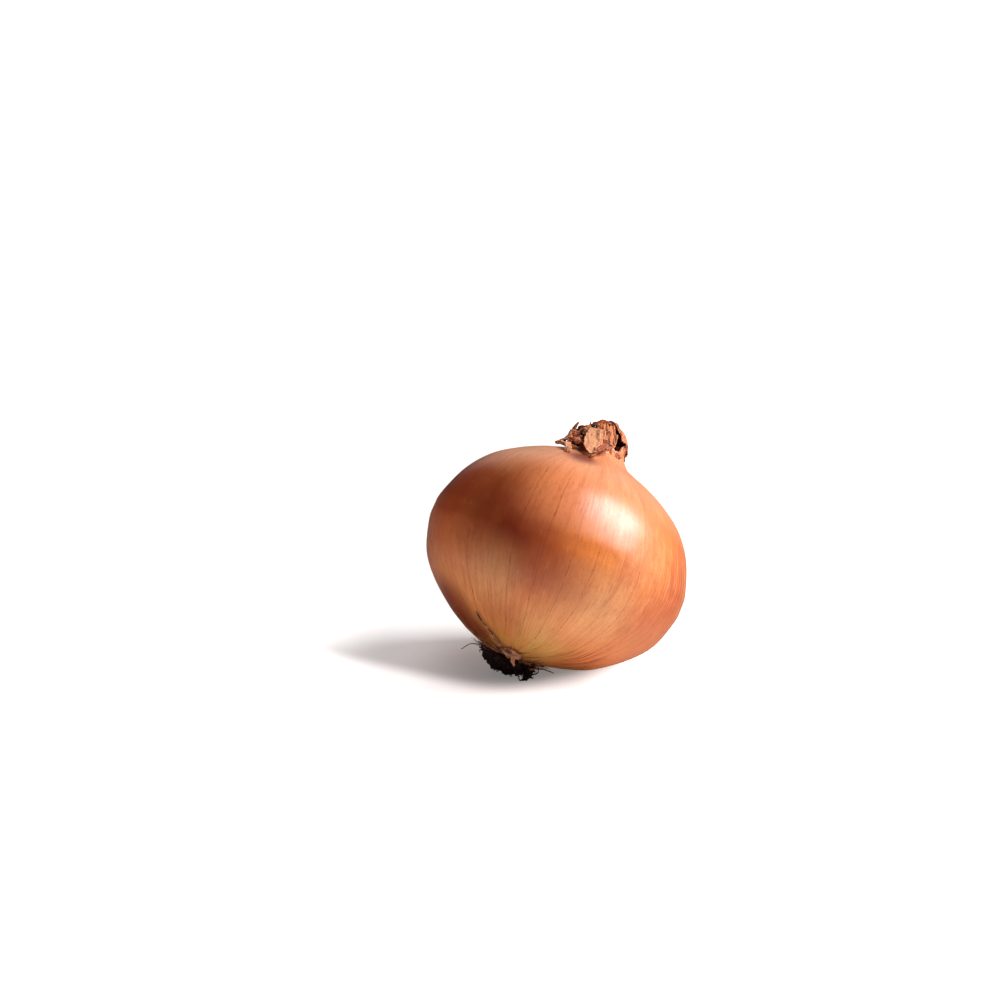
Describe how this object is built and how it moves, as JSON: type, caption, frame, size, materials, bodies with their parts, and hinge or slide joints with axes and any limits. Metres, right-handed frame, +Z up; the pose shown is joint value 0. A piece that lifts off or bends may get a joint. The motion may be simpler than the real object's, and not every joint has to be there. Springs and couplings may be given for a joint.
{
  "type": "onion",
  "caption": "Brown onion with papery skin, a tuft of torn dry leaf ends at its neck and a clump of dried roots, lying tipped over on a small flat spot.",
  "frame": {"origin": "middle of the small flat spot of the bulb that the onion rests on", "axes": "+Z up from the surface it lies on, -Y towards the front, +X to the right; the neck leans over towards +X and +Y"},
  "size_m": [0.0775, 0.0778, 0.0731],
  "materials": {
    "bulb_skin": "glossy papery onion skin, orange brown with thin dark veins",
    "dry_leaf": "crumpled dry leaf, matt brown",
    "pale_leaf": "dry leaf turned inside out, matt cream",
    "dark_leaf": "shrivelled dark brown leaf, matt",
    "root_clump": "matted dark brown roots, rough",
    "dried_root": "fine dried root, matt brown"
  },
  "bodies": {
    "root": {"bulb": "bulb_skin", "neck_stump": "dark_leaf", "leaf_front_flap": "pale_leaf", "leaf_front_fold": "dry_leaf", "leaf_left_ledge": "dry_leaf", "leaf_hanging_strip": "pale_leaf", "leaf_spike": "dry_leaf", "leaf_dark_curl": "dark_leaf", "leaf_top_fold": "dry_leaf", "leaf_right_fold": "dry_leaf", "leaf_back_right": "dry_leaf", "leaf_back": "dry_leaf", "leaf_back_left": "dry_leaf", "root_clump": "root_clump", "root_upper_long": "dried_root", "root_upper_short": "dried_root", "root_left": "dried_root", "root_right": "dried_root", "root_back_long": "dried_root", "root_back_short": "dried_root", "root_chip": "pale_leaf"}
  },
  "joints": []
}
